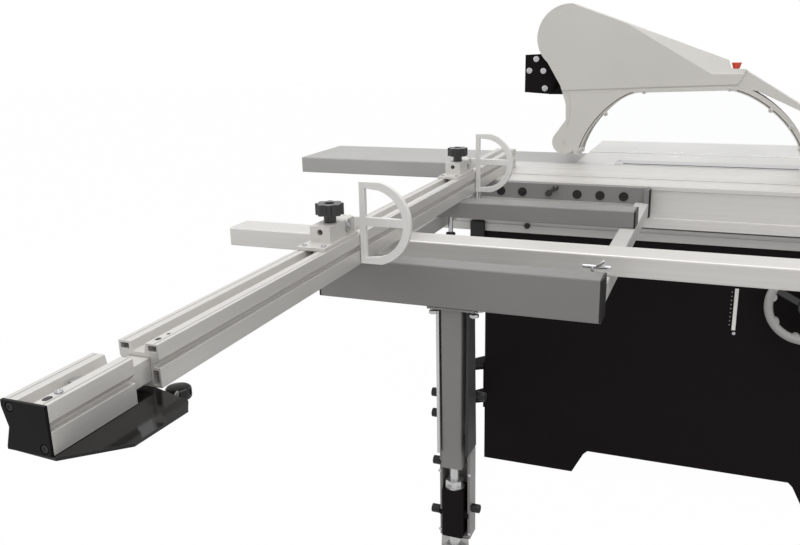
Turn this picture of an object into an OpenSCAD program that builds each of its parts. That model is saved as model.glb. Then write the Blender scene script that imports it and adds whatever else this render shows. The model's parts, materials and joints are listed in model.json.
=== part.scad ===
// Sliding table saw: a cabinet saw with a roller carriage, an outrigger with a crosscut fence,
// an overhead blade guard and a telescopic swing arm under the outrigger's outer end.
// +X is to the right of the operator, +Y is the feed direction and +Z is up, in millimetres.
// The working datum is the blade plane (x 0), the arbor line (y 0) and the floor (z 0).

/* [Table] */
// Height of the working surface above the floor
table_h = 890; // [870:1:910]
// Width of the cast main table
table_w = 570; // [520:1:640]
// Reach of the main table in front of the arbor
table_front = 480; // [460:1:560]
// Reach of the main table behind the arbor
table_rear = 340; // [330:1:400]
// Depth of the main table's skirt
table_skirt = 42; // [36:1:50]
// Thickness of the main table's plate
table_plate = 14; // [12:1:18]
// Distance from the blade to the main table's edge
table_edge = 24; // [22:1:26]
// Width of the steel rear table
rear_w = 320; // [280:1:400]
// Length of the steel rear table
rear_l = 970; // [700:1:1000]
// Step from the main table down to the rear table
rear_drop = 14; // [0:1:20]
// Height of the rear table's folded edge
rear_edge = 53; // [45:1:60]
// Thickness of the table insert
insert_t = 6; // [5:0.5:7]

/* [Cabinet] */
// Distance from the blade to the cabinet's left face
cab_left = 357; // [350:1:364]
// Distance from the blade to the cabinet's right face
cab_right = 430; // [425:1:470]
// Reach of the cabinet behind the arbor
cab_rear = 536; // [500:1:560]
// Reach of the cabinet in front of the arbor
cab_front = 653; // [600:1:700]
// Thickness of the cabinet's sheet steel
sheet_t = 4; // [3:0.5:5]
// Height of the toe notch in the cabinet's sides
notch_h = 76; // [60:1:90]
// Length of the toe notch at its top
notch_l = 573; // [500:1:620]

/* [Carriage] */
// Width of the sliding carriage
car_w = 350; // [346:1:354]
// Length of the sliding carriage
car_l = 1600; // [1400:1:1700]
// Distance from the arbor to the carriage's rear end
car_rear = 580; // [570:1:620]
// Height of the carriage section
car_h = 113; // [108:1:118]
// Length of the base rail
rail_l = 1600; // [1400:1:1700]
// Distance from the arbor to the base rail's rear end
rail_rear = 750; // [700:1:800]
// Height of the base rail
rail_h = 34; // [30:1:38]
// Gap between base rail and carriage
rail_gap = 8; // [6:1:10]

/* [Outrigger] */
// Distance from the blade to the outer beam's outer face
outer_x = 1286; // [1240:1:1340]
// Width of the outer beam
outer_w = 50; // [44:1:56]
// Height of the outer beam
outer_h = 79; // [76:1:90]
// Length of the outer beam
outer_l = 525; // [500:1:560]
// Distance from the blade to the support beam's outer face
support_x = 1120; // [1090:1:1150]
// Width of the support beam
support_w = 75; // [60:1:90]
// Height of the support and inner beams
support_h = 41; // [38:1:44]
// Length of the support beam
support_l = 1450; // [1200:1:1600]
// Distance from the arbor to the support beam's rear end
support_rear = 905; // [850:1:950]
// Distance from the blade to the inner beam's outer face
inner_x = 715; // [690:1:740]
// Width of the inner beam
inner_w = 60; // [50:1:70]
// Distance from the arbor to the outrigger's front end
frame_front = 75; // [60:1:90]
// Width of a cross bar
bar_w = 36; // [30:1:40]
// Wall of the steel tubes
tube_t = 3; // [2:0.5:4]

/* [Crosscut fence] */
// Distance from the arbor to the fence's working face
fence_y = 502; // [490:1:515]
// Width of the fence section
fence_w = 58; // [56:1:64]
// Height of the fence section
fence_h = 56; // [55:1:62]
// Distance from the blade to the fence's inner end
fence_end = 145; // [120:1:180]
// Length of the fence
fence_l = 1753; // [1650:1:1850]
// Length of the fence extension's head
head_l = 131; // [110:1:150]
// Distance that the extension is drawn out at rest
head_out = 45; // [30:1:80]
// Length of the extension's tongue
tongue_l = 857; // [800:1:900]
// Sliding clearance of the tongue
slide_gap = 0.3; // [0.2:0.05:0.5]
// Distances from the blade to the two flip stops' flags
stop_at = [1309, 577]; // [500:1:1400]
// Height of a stop's flag
flag_h = 150; // [130:1:160]
// Reach of a stop's flag in front of the fence
flag_reach = 98; // [85:1:110]
// Thickness of a stop's flag
flag_t = 10; // [8:0.5:12]
// Diameter of a stop's knob
stop_knob_d = 50; // [40:1:56]

/* [Swing arm] */
// Distance of the arm's hinge from the blade
hinge_x = 375; // [370:1:390]
// Distance of the arm's hinge behind the arbor
hinge_y = 624; // [615:1:640]
// Distance of the post behind the arbor
post_y = 340; // [320:1:360]
// Width of the post's square tube
post_w = 40; // [36:1:44]
// Length of the post's tube
post_l = 318; // [280:1:340]
// Width of the outer arm
arm_w = 64; // [56:1:70]
// Height of the outer arm
arm_h = 90; // [80:1:96]
// Height of the outer arm's underside
arm_z = 200; // [190:1:210]
// Length of the outer arm from its hinge
arm_l = 690; // [650:1:720]
// Radius of the post's threaded rod
rod_r = 10; // [8:0.5:11]

/* [Guard] */
// Width of the guard's shell
guard_w = 90; // [80:1:100]
// Wall of the guard's shell
guard_t = 5; // [4:0.5:6]
// Height of the guard's feet above the table
guard_lift = 30; // [20:1:60]
// Side of the boom's column
column_w = 50; // [44:1:56]

/* [Blade unit] */
// Diameter of the saw blade
blade_d = 305; // [296:1:306]
// Thickness of the saw blade
blade_t = 3.2; // [2.8:0.1:3.6]
// Depth of the lowered blade's tip under the table
blade_drop = 5.5; // [5:0.5:12]
// Diameter of the scoring blade
scoring_d = 120; // [110:1:124]
// Distance of the scoring arbor in front of the main arbor
scoring_y = 235; // [232:1:238]
// Radius of the arbor
arbor_r = 15; // [12:0.5:17]
// Radius of the arbor's pulley
pulley_r = 35; // [30:1:40]
// Radius of the motor's pulley
motor_pulley_r = 50; // [40:1:56]
// Depth of the motor's shaft under the arbor
motor_drop = 172; // [160:1:190]
// Radius of the motor's body
motor_r = 80; // [70:1:84]
// Running clearance of shafts and pins
run_gap = 0.05; // [0.03:0.01:0.08]
// Radius of the handwheels
wheel_r = 102; // [90:1:110]

/* [Rip fence] */
// Distance of the rip fence from the blade
rip_x = 330; // [300:1:360]
// Length of the rip fence's plate
rip_l = 760; // [700:1:800]
// Distance of the plate's nose in front of the arbor
rip_nose = 335; // [320:1:350]
// Radius of the round front rail
rip_rail_r = 20; // [16:0.5:22]

/* [Hidden] */
$fn = 48;
eps = 0.01;

// Heights that stack up under the table
car_z = table_h - car_h;
rail_z1 = car_z - rail_gap;
rail_z = rail_z1 - rail_h;
cab_top = rail_z;
riser_top = table_h - table_skirt;
bar_z1 = table_h - support_h;
bar_z = table_h - outer_h;

// Carriage and rail sides
car_x = -table_edge - 4 - car_w;
car_x1 = car_x + car_w;
car_y = car_rear - car_l;
lip_z = table_h - 18;
lip_x = car_x1 - 22;
rib_x = [-301, -231];
rib_z = rail_z1 + 31;
channel_x = car_x - 22;
bracket_x = channel_x - 12;
channel_z = table_h - 45;
frame_rear = frame_front + outer_l;
channel_front = frame_front + 9;
plug_y = frame_front * [1, 1, 1, 1, 1, 1] + [70, 132, 193, 270, 344, 405];
plug_z = channel_z + 18;
plug_r = 8.5;

// Crosscut fence places
fence_x = -fence_end - fence_l;
fence_z1 = table_h + fence_h;
head_x1 = fence_x - head_out;
head_x = head_x1 - head_l;
cap_t = 4;
tongue = [fence_w / 2 - 15, 8, fence_w / 2 + 15, 38];
pivot_y = fence_y + fence_w / 2;
pivot_z = fence_z1 + 24;
flag_z = table_h + 2;
pin_r = 5;

// Swing arm places
post_x = -outer_x + outer_w / 2;
arm_dx = post_x + hinge_x;
arm_dy = post_y - hinge_y;
arm_len = norm([arm_dx, arm_dy]);
arm_angle = atan2(arm_dy, arm_dx);
arm_wall = 4;
inner_arm_z1 = arm_z + arm_h - arm_wall - slide_gap;
disc_z = arm_z + arm_h + 10;
hinge_pin_r = 12;
flange_t = 8;
post_z1 = bar_z - flange_t;
post_z = post_z1 - post_l;
plates_gap = 60;
block_z1 = post_z - 48;
block_h = 98;

// Blade unit places
blade_r = blade_d / 2;
arbor_z = table_h - blade_drop - blade_r;
motor_z = arbor_z - motor_drop;
scoring_z = table_h - blade_drop - scoring_d / 2;
shoe_r = [158, 207];
shoe_a = [-92, -60];
groove_a = [-138, -57];
trunnion_y = [236, -330];
trunnion_t = 20;
column_r = 12;
column_x = 75;
column_y = 85;
housing_h = 30;

// Guard outline in the blade's plane
guard_z = table_h + guard_lift;
hump = [369, table_h + guard_lift + 351];
hump_r = 97;
foot = [375, guard_z + 37];
foot_r = 37;
arch_rear = [156, 169, 189];
arch_front = [-90, 210, 196];
arch_power = 1.55;
crest = [[281, guard_z + 427], [-85, guard_z + 279]];
guard_pivot = [395, guard_z + 260];
guard_pin_r = 8;
boom_y = [474, 510];
boom_z = [guard_z + 192, guard_z + 296];
column_x0 = table_w - table_edge + 34;
nose_knob = [-106, guard_z + 256];

// Rip fence places
rip_rail_y = -table_front - 60;
rip_rail_z = table_h - 70;
rip_rail_x1 = table_w - table_edge + 10;

// Wheel places
wheel_y = -324;
wheel_z = cab_top - 130;
tilt_x = 150;
tilt_z = cab_top - 175;
wheel_shaft_r = 10;

// Switch box place
switch_x = -230;
switch_z = cab_top - 105;
button_r = 15;

// Middle of the whole outline, where the part's origin lies
mid_x = (head_x - cap_t + column_x0 + column_w) / 2;
mid_y = (table_rear + rear_l - rip_nose - rip_l) / 2;

black = [0.08, 0.08, 0.085];
grey = [0.47, 0.47, 0.48];
pale = [0.8, 0.8, 0.79];
alloy = [0.72, 0.72, 0.7];
steel = [0.62, 0.62, 0.63];
iron = [0.55, 0.56, 0.57];
shell = [0.7, 0.7, 0.68];
red = [0.8, 0.2, 0.1];
glass = [0.8, 0.85, 0.88, 0.3];

// Shared shapes
module place() {
    translate([-mid_x, -mid_y, 0]) children();
}

module along_x(x0, l) {
    translate([x0, 0, 0]) rotate([90, 0, 90]) linear_extrude(l) children();
}

module along_y(y0, l) {
    translate([0, y0 + l, 0]) rotate([90, 0, 0]) linear_extrude(l) children();
}

module block(lo, hi) {
    translate(lo) cube(hi - lo);
}

module rod_x(p, r, l) {
    translate(p) rotate([0, 90, 0]) cylinder(r = r, h = l);
}

module rod_y(p, r, l) {
    translate(p) rotate([-90, 0, 0]) cylinder(r = r, h = l);
}

module rod_z(p, r, l) {
    translate(p) cylinder(r = r, h = l);
}

module soft_rect(lo, hi, r) {
    translate(lo + [r, 0]) square([hi.x - lo.x - 2 * r, hi.y - lo.y]);
    translate(lo + [0, r]) square([hi.x - lo.x, hi.y - lo.y - 2 * r]);
    for (x = [lo.x + r, hi.x - r], y = [lo.y + r, hi.y - r]) translate([x, y]) circle(r);
}

module tube_section(lo, hi, t) {
    difference() {
        soft_rect(lo, hi, t + 1);
        translate(lo + [t, t]) square(hi - lo - [2 * t, 2 * t]);
    }
}

// A sector of a ring, with its angles counted from the first axis
module ring_sector(r0, r1, a0, a1) {
    mid = (a0 + a1) / 2;
    intersection() {
        difference() {
            circle(r1);
            circle(r0);
        }
        polygon([[0, 0], 400 * [cos(a0), sin(a0)], 480 * [cos(mid), sin(mid)], 400 * [cos(a1), sin(a1)]]);
    }
}

// Cabinet and table
module cabinet() {
    mid = (cab_rear - cab_front) / 2;
    slope = 33;
    color(black) place() difference() {
        union() {
            block([-cab_left, -cab_front, 0], [cab_right, cab_rear, cab_top]);
            block([-10, -table_front + 40, cab_top - eps], [cab_right, table_rear - 20, riser_top]);
        }
        block([-cab_left + sheet_t, -cab_front + sheet_t, -1],
            [cab_right - sheet_t, cab_rear - sheet_t, cab_top - sheet_t]);
        block([-cab_left + 90, -table_front + 40 + sheet_t, cab_top - sheet_t - 1],
            [cab_right - sheet_t, table_rear - 20 - sheet_t, cab_top + eps]);
        block([-11, -table_front + 40 + sheet_t, cab_top - 1],
            [cab_right - sheet_t, table_rear - 20 - sheet_t, riser_top + 1]);
        along_x(-cab_left - 1, cab_left + cab_right + 2) polygon([
            [mid - notch_l / 2 - slope, -1], [mid + notch_l / 2 + slope, -1],
            [mid + notch_l / 2, notch_h - 12], [mid + notch_l / 2 - 12, notch_h],
            [mid - notch_l / 2 + 12, notch_h], [mid - notch_l / 2, notch_h - 12]
        ]);
        rod_x([-cab_left - 1, wheel_y, wheel_z], wheel_shaft_r + run_gap, sheet_t + 2);
        rod_y([tilt_x, -cab_front - 1, tilt_z], wheel_shaft_r + run_gap, sheet_t + 2);
        rod_y([200, cab_rear - sheet_t - 1, 200], 56, sheet_t + 2);
    }
}

module main_table() {
    x1 = table_w - table_edge;
    ribs = [-table_front + 120, table_rear - 60];
    notch = [-310, 210];
    color(iron) place() difference() {
        block([-table_edge, -table_front, riser_top], [x1, table_rear, table_h]);
        for (i = [0:2]) let(y = concat([-table_front + 14 - 6], ribs, [table_rear - 14 + 6]))
            block([40, y[i] + 6, riser_top - 1], [x1 - 14, y[i + 1] - 6, table_h - table_plate]);
        block([-table_edge - 1, notch[0], riser_top - 1], [62, notch[1], table_h - insert_t]);
        block([-table_edge - 1, notch[0] - 12, table_h - insert_t - eps], [74, notch[1] + 12, table_h + 1]);
        block([230, -table_front - 1, table_h - 9], [249, table_rear + 1, table_h + 1]);
    }
}

module table_insert() {
    gap = 0.4;
    color(steel) place() difference() {
        block([-table_edge, -322 + gap, table_h - insert_t], [74 - gap, 222 - gap, table_h]);
        block([-10, -scoring_y - scoring_d / 2 - 3, table_h - insert_t - 1],
            [8, blade_r + 45, table_h + 1]);
        for (y = [-316, 214]) rod_z([52, y, table_h - 3], 5, 4);
    }
}

module rear_table() {
    x0 = -table_edge + 4;
    z1 = table_h - rear_drop;
    y1 = table_rear + rear_l;
    color(grey) place() difference() {
        along_y(table_rear, rear_l) soft_rect([x0, z1 - rear_edge], [x0 + rear_w, z1], 4);
        block([x0 + sheet_t, table_rear + sheet_t, z1 - rear_edge - 1],
            [x0 + rear_w - sheet_t, y1 - sheet_t, z1 - sheet_t]);
    }
}

module base_rail() {
    x0 = -cab_left;
    x1 = -175;
    color(pale) place() along_y(rail_rear - rail_l, rail_l) difference() {
        union() {
            translate([x0, rail_z]) square([x1 - x0, rail_h]);
            translate([rib_x[0], rail_z1 - eps]) square([rib_x[1] - rib_x[0], rib_z - rail_z1]);
        }
        for (x = [[x0 + 6, rib_x[0] - 3], [rib_x[0] + 6, rib_x[1] - 6], [rib_x[1] + 3, x1 - 6]])
            translate([x[0], rail_z + 6]) square([x[1] - x[0], rail_h - 12]);
        translate([x0 - 1, rail_z + rail_h - 12]) square([4, 5]);
    }
}

module rail_saddles() {
    cheek = 14;
    grip = 44;
    color(black) place() for (y = [cab_rear, -cab_front - grip]) along_y(y, grip) difference() {
        soft_rect([-cab_left - cheek, rail_z - 24], [-160, rail_z1 - 2], 8);
        translate([-cab_left - slide_gap, rail_z - slide_gap]) square([400, 400]);
    }
}

module trunnions() {
    color(iron) place() for (y = trunnion_y) along_y(y, trunnion_t) translate([0, table_h]) difference() {
        union() {
            ring_sector(shoe_r[0] - 10, shoe_r[1] + 10, groove_a[0] - 3, groove_a[1] + 7);
            polygon([[66, -table_plate], [160, -table_plate], [150, -170], [70, -180], [66, -110]]);
        }
        ring_sector(shoe_r[0] - slide_gap, shoe_r[1] + slide_gap, groove_a[0], groove_a[1]);
    }
}

// Blade unit inside the cabinet
module tilt_cradle() {
    y0 = trunnion_y[1] + trunnion_t;
    y1 = trunnion_y[0];
    beam_z = table_h - 250;
    color(iron) place() difference() {
        union() {
            for (y = trunnion_y) along_y(y - (y < 0 ? 0 : 30), trunnion_t + 30) translate([0, table_h])
                ring_sector(shoe_r[0], shoe_r[1], shoe_a[0], shoe_a[1]);
            block([35, y0 + 0.5, beam_z], [115, y1 - 0.5, beam_z + 60]);
            for (y = [-column_y, column_y]) rod_z([column_x, y, beam_z + 50], column_r, 170);
            block([24, -scoring_y - 30, beam_z + 10], [84, -scoring_y + 30, scoring_z + 30]);
            rod_x([83, -scoring_y, scoring_z], 36, 120);
            rod_x([202, -scoring_y, scoring_z], 32, 20);
        }
        rod_x([0, -scoring_y, scoring_z], 12 + run_gap, 140);
    }
}

module saw_disc(p, r, bore, teeth, t) {
    translate(p) rotate([0, 90, 0]) linear_extrude(t, center = true) difference() {
        circle(r);
        for (i = [0:teeth - 1]) rotate(i * 360 / teeth)
            polygon([[r + 3, -5], [r + 3, 6], [r - 2.5, 3], [r - 9, 2], [r - 9, -3]]);
        circle(bore);
    }
}

module scoring_blade() {
    color(steel) place() {
        saw_disc([0, -scoring_y, scoring_z], scoring_d / 2, 12 - eps, 20, blade_t);
        rod_x([-8, -scoring_y, scoring_z], 12, 140);
    }
}

module arbor_slide() {
    side = 110;
    color(iron) place() difference() {
        union() {
            block([25, -side, arbor_z - housing_h], [125, side, arbor_z + housing_h]);
            for (y = [-side, side - 14])
                block([120, y, arbor_z - housing_h], [186, y + 14, arbor_z + housing_h]);
            block([176, -side, motor_z - 90], [186, side, arbor_z + housing_h]);
            block([25, side - 10, arbor_z - 26], [45, side + 24, arbor_z - 8]);
        }
        rod_x([0, 0, arbor_z], arbor_r + run_gap, 200);
        rod_x([170, 0, arbor_z], pulley_r + 6, 30);
        rod_x([170, 0, motor_z], motor_pulley_r + 6, 30);
        for (y = [-column_y, column_y]) rod_z([column_x, y, arbor_z - 100], column_r + run_gap, 200);
    }
}

module motor() {
    x0 = 186;
    l = 200;
    fins = 16;
    color(grey) place() difference() {
        union() {
            rod_x([x0, 0, motor_z], motor_r - 4, l);
            rod_x([x0, 0, motor_z], motor_r + 8, 10);
            rod_x([x0 + l - 40, 0, motor_z], motor_r, 40);
            for (i = [0:fins - 1]) translate([x0, 0, motor_z]) rotate([i * 360 / fins, 0, 0])
                block([8, -2, 60], [l - 36, 2, motor_r - 1.5]);
        }
        rod_x([x0 - 1, 0, motor_z], 12 + run_gap, 60);
    }
}

module arbor() {
    color(steel) place() difference() {
        union() {
            rod_x([-19, 0, arbor_z], arbor_r, 187);
            rod_x([blade_t / 2, 0, arbor_z], 40, 12);
            rod_x([-blade_t / 2 - 6, 0, arbor_z], 30, 6);
            translate([-18, 0, arbor_z]) rotate([0, 90, 0]) cylinder(r = 20, h = 11, $fn = 6);
            rod_x([140, 0, arbor_z], pulley_r, 25);
        }
        for (i = [0:3]) translate([143 + i * 5.5, 0, arbor_z]) rotate([0, 90, 0]) difference() {
            cylinder(r = pulley_r + 1, h = 3);
            cylinder(r = pulley_r - 2, h = 3);
        }
    }
}

module saw_blade() {
    color(steel) place() saw_disc([0, 0, arbor_z], blade_r, arbor_r + run_gap, 40, blade_t);
}

module motor_pulley() {
    color(steel) place() {
        rod_x([140, 0, motor_z], motor_pulley_r, 25);
        rod_x([130, 0, motor_z], 12, 110);
    }
}

module drive_belt() {
    belt_t = 4;
    color(black) place() along_x(141, 23) translate([0, arbor_z]) difference() {
        hull() {
            circle(pulley_r + belt_t);
            translate([0, -motor_drop]) circle(motor_pulley_r + belt_t);
        }
        hull() {
            circle(pulley_r + slide_gap);
            translate([0, -motor_drop]) circle(motor_pulley_r + slide_gap);
        }
    }
}

module riving_knife() {
    t = 2.8;
    color(steel) place() {
        along_x(-t / 2, t) translate([0, arbor_z]) difference() {
            intersection() {
                circle(blade_r + 34);
                translate([90, -24]) square([120, blade_r + 16]);
            }
            circle(blade_r + 5);
        }
        block([-t / 2, blade_r + 9, arbor_z - 24], [25 - slide_gap, blade_r + 29, arbor_z - 10]);
        block([12, 112, arbor_z - 24], [25 - slide_gap, blade_r + 29, arbor_z - 10]);
    }
}

// Handwheel with finger scallops round its inner edge
module handwheel(grip) {
    rim = 11;
    difference() {
        union() {
            rotate_extrude() translate([wheel_r - rim, 0]) circle(rim, $fn = 24);
            for (a = [0, 120, 240]) rotate(a) translate([0, -8, -5]) cube([wheel_r - rim, 16, 10]);
            translate([0, 0, -14]) cylinder(r = 22, h = 28);
            for (i = [0:7]) rotate(i * 45)
                translate([wheel_r - 2 * rim + 5.5, 0, -7]) cylinder(r = 11, h = 14);
        }
        cylinder(r = 3, h = 40);
    }
    translate([wheel_r - rim, 0, rim - 3]) cylinder(r = 5, h = 12);
    translate([wheel_r - rim, 0, rim + 8]) cylinder(r = 11, h = grip);
}

module height_wheel() {
    color(pale) place() {
        translate([-cab_left - 56, wheel_y, wheel_z]) rotate([0, -90, 0]) rotate(302) handwheel(46);
        rod_x([-cab_left - 56, wheel_y, wheel_z], wheel_shaft_r, 120);
    }
}

module tilt_wheel() {
    color(pale) place() {
        translate([tilt_x, -cab_front - 56, tilt_z]) rotate([90, 0, 0]) rotate(120) handwheel(46);
        rod_y([tilt_x, -cab_front - 56, tilt_z], wheel_shaft_r, 120);
    }
}

// Rip fence, drawn back for crosscutting
module rip_rail() {
    color(steel) place() {
        rod_x([20, rip_rail_y, rip_rail_z], rip_rail_r, rip_rail_x1 - 20);
        for (x = [60, rip_rail_x1 - 50]) block([x - 16, rip_rail_y + rip_rail_r - 3, rip_rail_z - 14],
            [x + 16, -table_front, rip_rail_z + 14]);
        for (x = [60, rip_rail_x1 - 50]) block([x - 16, -table_front - 14, rip_rail_z],
            [x + 16, -table_front, riser_top + 20]);
    }
}

module rip_head() {
    half = 55;
    grip = rip_rail_r + 14;
    color(grey) place() difference() {
        union() {
            block([rip_x, rip_rail_y - grip, rip_rail_z - grip],
                [rip_x + 2 * half, rip_rail_y + 8, table_h + 6]);
            block([rip_x, rip_rail_y - 4, table_h + 0.5],
                [rip_x + 2 * half, -table_front + 130, table_h + 18]);
            block([rip_x, -table_front - 40, table_h + 10], [rip_x + 14, -table_front + 130, table_h + 70]);
        }
        rod_x([rip_x - 1, rip_rail_y, rip_rail_z], rip_rail_r + run_gap, 2 * half + 2);
        block([rip_x - 1, rip_rail_y, rip_rail_z - 60],
            [rip_x + 2 * half + 1, rip_rail_y + 60, rip_rail_z + 24]);
        rod_y([rip_x + 60, rip_rail_y - grip - 1, rip_rail_z + 44], 8 + run_gap, 30);
    }
}

module rip_plate() {
    x1 = rip_x - slide_gap;
    color(alloy) place() along_y(-rip_nose - rip_l, rip_l) difference() {
        translate([x1 - 30, table_h + 1]) square([30, 76]);
        translate([x1 - 25, table_h + 6]) square([20, 36]);
        translate([x1 - 25, table_h + 48]) square([20, 24]);
        translate([x1 - 5 - eps, table_h + 54]) square([6, 10]);
    }
}

module rip_lever() {
    y0 = rip_rail_y - rip_rail_r - 14;
    color(black) place() {
        rod_y([rip_x + 60, y0 - 18, rip_rail_z + 44], 8, 40);
        rod_y([rip_x + 60, y0 - 30, rip_rail_z + 44], 15, 14);
        translate([rip_x + 60, y0 - 24, rip_rail_z + 44]) rotate([0, 180, 0])
            cylinder(r1 = 6, r2 = 9, h = 92);
    }
}

// Switch box and dust outlet
module switch_box() {
    color(black) place() difference() {
        union() {
            along_y(-cab_front - 62, 62)
                soft_rect([switch_x - 50, switch_z - 75], [switch_x + 50, switch_z + 75], 8);
            rod_y([switch_x, -cab_front - 68, switch_z + 32], 21, 8);
            rod_y([switch_x, -cab_front - 68, switch_z - 32], 21, 8);
        }
        for (z = [-32, 32]) rod_y([switch_x, -cab_front - 70, switch_z + z], button_r + run_gap, 40);
    }
}

module start_button() {
    color([0.1, 0.5, 0.2]) place() rod_y([switch_x, -cab_front - 74, switch_z + 32], button_r, 34);
}

module stop_button() {
    color(red) place() {
        rod_y([switch_x, -cab_front - 74, switch_z - 32], button_r, 34);
        rod_y([switch_x, -cab_front - 88, switch_z - 32], button_r + 10, 14);
    }
}

module dust_port() {
    y0 = cab_rear;
    color(black) place() difference() {
        union() {
            rod_y([200, y0, 200], 78, 6);
            rod_y([200, y0, 200], 60, 66);
        }
        rod_y([200, y0 - 1, 200], 56, 70);
    }
}

// Overhead guard
function arch_side(c, a, b, dir) = [for (i = [0:14]) let(t = i * 90 / 14)
    [c + dir * a * pow(cos(t), 2 / arch_power), guard_z + b * pow(sin(t), 2 / arch_power)]];

function reversed(p) = [for (i = [len(p) - 1:-1:0]) p[i]];

// The window's arch, widened by d
function arch(d) = concat(
    arch_side(arch_rear[0], arch_rear[1] + d, arch_rear[2] + d, 1),
    reversed(arch_side(arch_front[0], arch_front[1] + d, arch_front[2] + d, -1))
);

module guard_side() {
    nose = [[-92, guard_z + 256], [-134, guard_z + 253], [-118, guard_z + 212]];
    difference() {
        union() {
            translate(hump) circle(hump_r);
            translate(foot) circle(foot_r);
            polygon(concat([[455, guard_z + 315], [392, guard_z + 210], [374, guard_z + 155],
                [372, guard_z + 105], [405, guard_z + 58], [340, guard_z + 5], [320, guard_z + 60],
                [100, guard_z + 170], [-118, guard_z + 190]],
                reversed(nose), reversed(crest), [[395, guard_z + 440]]));
            polygon(arch(20));
            polygon([[-110, guard_z + 205], [-118, guard_z + 240], [-134, guard_z + 250],
                [-279, guard_z + 159], [-338, guard_z + 112], [-350, guard_z + 85], [-350, guard_z + 25],
                [-335, guard_z], [-296, guard_z], [-302, guard_z + 62], [-314, guard_z + 100],
                [-281, guard_z + 141], [-168, guard_z + 194]]);
        }
        polygon(arch(0));
        translate([-600, guard_z - 100]) square([1200, 100]);
    }
}

// The sloping cheek on each side of the roof, moved in by d
module roof_cut(d) {
    hw = guard_w / 2 - d;
    for (m = [0, 1]) mirror([m, 0, 0]) intersection() {
        translate([0, 212, guard_z + 401 - d]) rotate([32.2, 0, 0]) along_y(-700, 700)
            polygon([[hw + 13.7, -20], [hw + 90, -20], [hw + 90, 200], [hw - 137, 200]]);
        block([0, -130, guard_z + 242 - d], [200, 260, guard_z + 500]);
    }
}

// The upper moulding, down to the parting line
module guard_upper() {
    polygon([[600, guard_z + 188], [-113, guard_z + 213], [-135, guard_z + 252], [-600, guard_z + 252],
        [-600, guard_z + 700], [600, guard_z + 700]]);
}

module guard_shell() {
    hw = guard_w / 2;
    step = 2.5;
    color(shell) place() difference() {
        union() {
            along_x(-hw, guard_w) intersection() {
                guard_side();
                guard_upper();
            }
            along_x(-hw + step, guard_w - 2 * step) guard_side();
            for (x = [-hw - 3, hw - 4]) along_x(x, 7) difference() {
                polygon(arch(11));
                polygon(arch(0));
                translate([-600, guard_z - 100]) square([1200, 112]);
            }
        }
        difference() {
            along_x(-hw + guard_t, guard_w - 2 * guard_t) union() {
                polygon(arch(14));
                translate(hump) circle(hump_r - guard_t);
                polygon([[370, guard_z + 437], [281, guard_z + 420], [-78, guard_z + 274],
                    [-84, guard_z + 225], [-90, guard_z + 190], [150, guard_z + 185], [327, guard_z + 7],
                    [384, guard_z + 7], [396, guard_z + 50], [366, guard_z + 105], [368, guard_z + 160],
                    [386, guard_z + 212], [450, guard_z + 315]]);
                translate([380, guard_z + 176]) square([300, 150]);
            }
            roof_cut(7);
        }
        translate([0, 0, guard_z]) block([-hw + guard_t, -700, -200], [hw - guard_t, 700, 12]);
        roof_cut(0);
        rod_x([-hw + 1.5, guard_pivot.x, guard_pivot.y], guard_pin_r + run_gap, guard_w - 3);
        rod_z([0, nose_knob.x, guard_z + 228], 5 + run_gap, 60);
    }
}

module guard_windows() {
    hw = guard_w / 2;
    t = 3;
    color(glass) place() for (x = [-hw + guard_t - 5, hw - guard_t + 2]) along_x(x, t) difference() {
        polygon(arch(-slide_gap));
        translate([-600, guard_z - 100]) square([1200, 102]);
    }
}

module guard_knob() {
    color(red) place() translate([0, nose_knob.x, nose_knob.y]) {
        cylinder(r1 = 9, r2 = 14, h = 16);
        translate([0, 0, -20]) cylinder(r = 5, h = 22);
    }
}

module guard_bracket() {
    t = 8;
    color(black) place() difference() {
        union() {
            along_x(-t, t) polygon([[510, guard_z + 186], [510, guard_z + 300], [460, guard_z + 302],
                [380, guard_z + 285], [372, guard_z + 262], [380, guard_z + 235], [425, guard_z + 180]]);
            rod_x([-guard_w / 2 + 2, guard_pivot.x, guard_pivot.y], guard_pin_r, guard_w - 4);
            rod_x([-t - 8, guard_pivot.x, guard_pivot.y], 20, 24);
        }
    }
}

module guard_boom() {
    y0 = boom_y[0] - 46;
    x1 = column_x0 + column_w;
    foot_z = cab_top - 315;
    color(pale) place() {
        along_x(0, x1) tube_section([boom_y[0], boom_z[0]], [boom_y[1], boom_z[1]], tube_t);
        translate([0, 0, foot_z]) linear_extrude(boom_z[0] + tube_t / 2 - foot_z)
            tube_section([column_x0, y0], [x1, y0 + column_w], tube_t);
        block([column_x0, y0, boom_z[0] - 8], [x1, boom_y[1], boom_z[0] + tube_t / 2]);
        for (z = [foot_z + 20, foot_z + 220])
            block([cab_right, y0, z], [column_x0 + tube_t / 2, y0 + column_w, z + 50]);
    }
}

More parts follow.
